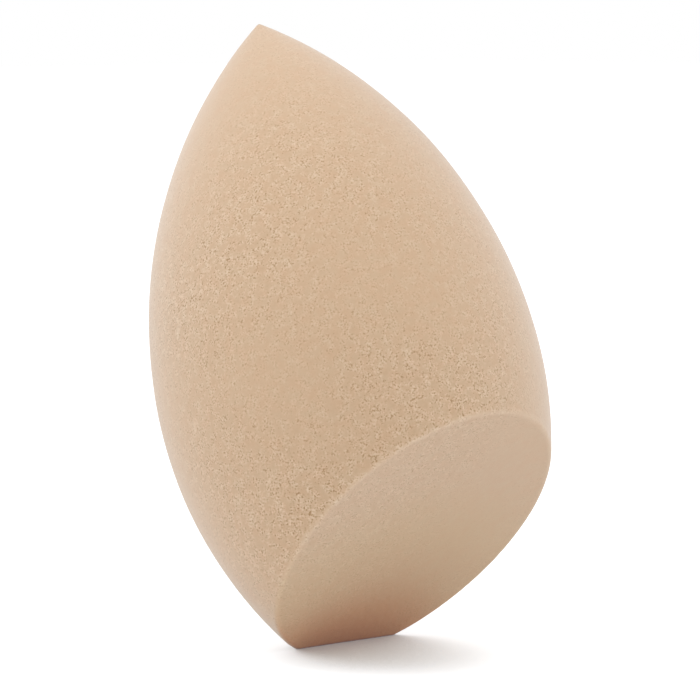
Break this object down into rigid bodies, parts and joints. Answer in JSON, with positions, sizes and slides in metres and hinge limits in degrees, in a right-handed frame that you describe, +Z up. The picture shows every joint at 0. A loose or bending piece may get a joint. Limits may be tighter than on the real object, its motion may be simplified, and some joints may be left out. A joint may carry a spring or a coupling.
{
  "type": "makeup sponge",
  "caption": "Pointed egg-shaped block of fine foam with a slanted flat face across its thick end, standing on a small flat where the face meets the long side.",
  "frame": {"origin": "middle of the small flat foot that the sponge stands on", "axes": "+Z up, -Y towards the slanted face, +X to the right of someone who looks along +Y at the face; the tip leans back towards +Y"},
  "size_m": [0.043, 0.0459, 0.0688],
  "materials": {
    "foam": "matte open-cell foam"
  },
  "bodies": {
    "root": {"foam_body": "foam"}
  },
  "joints": []
}
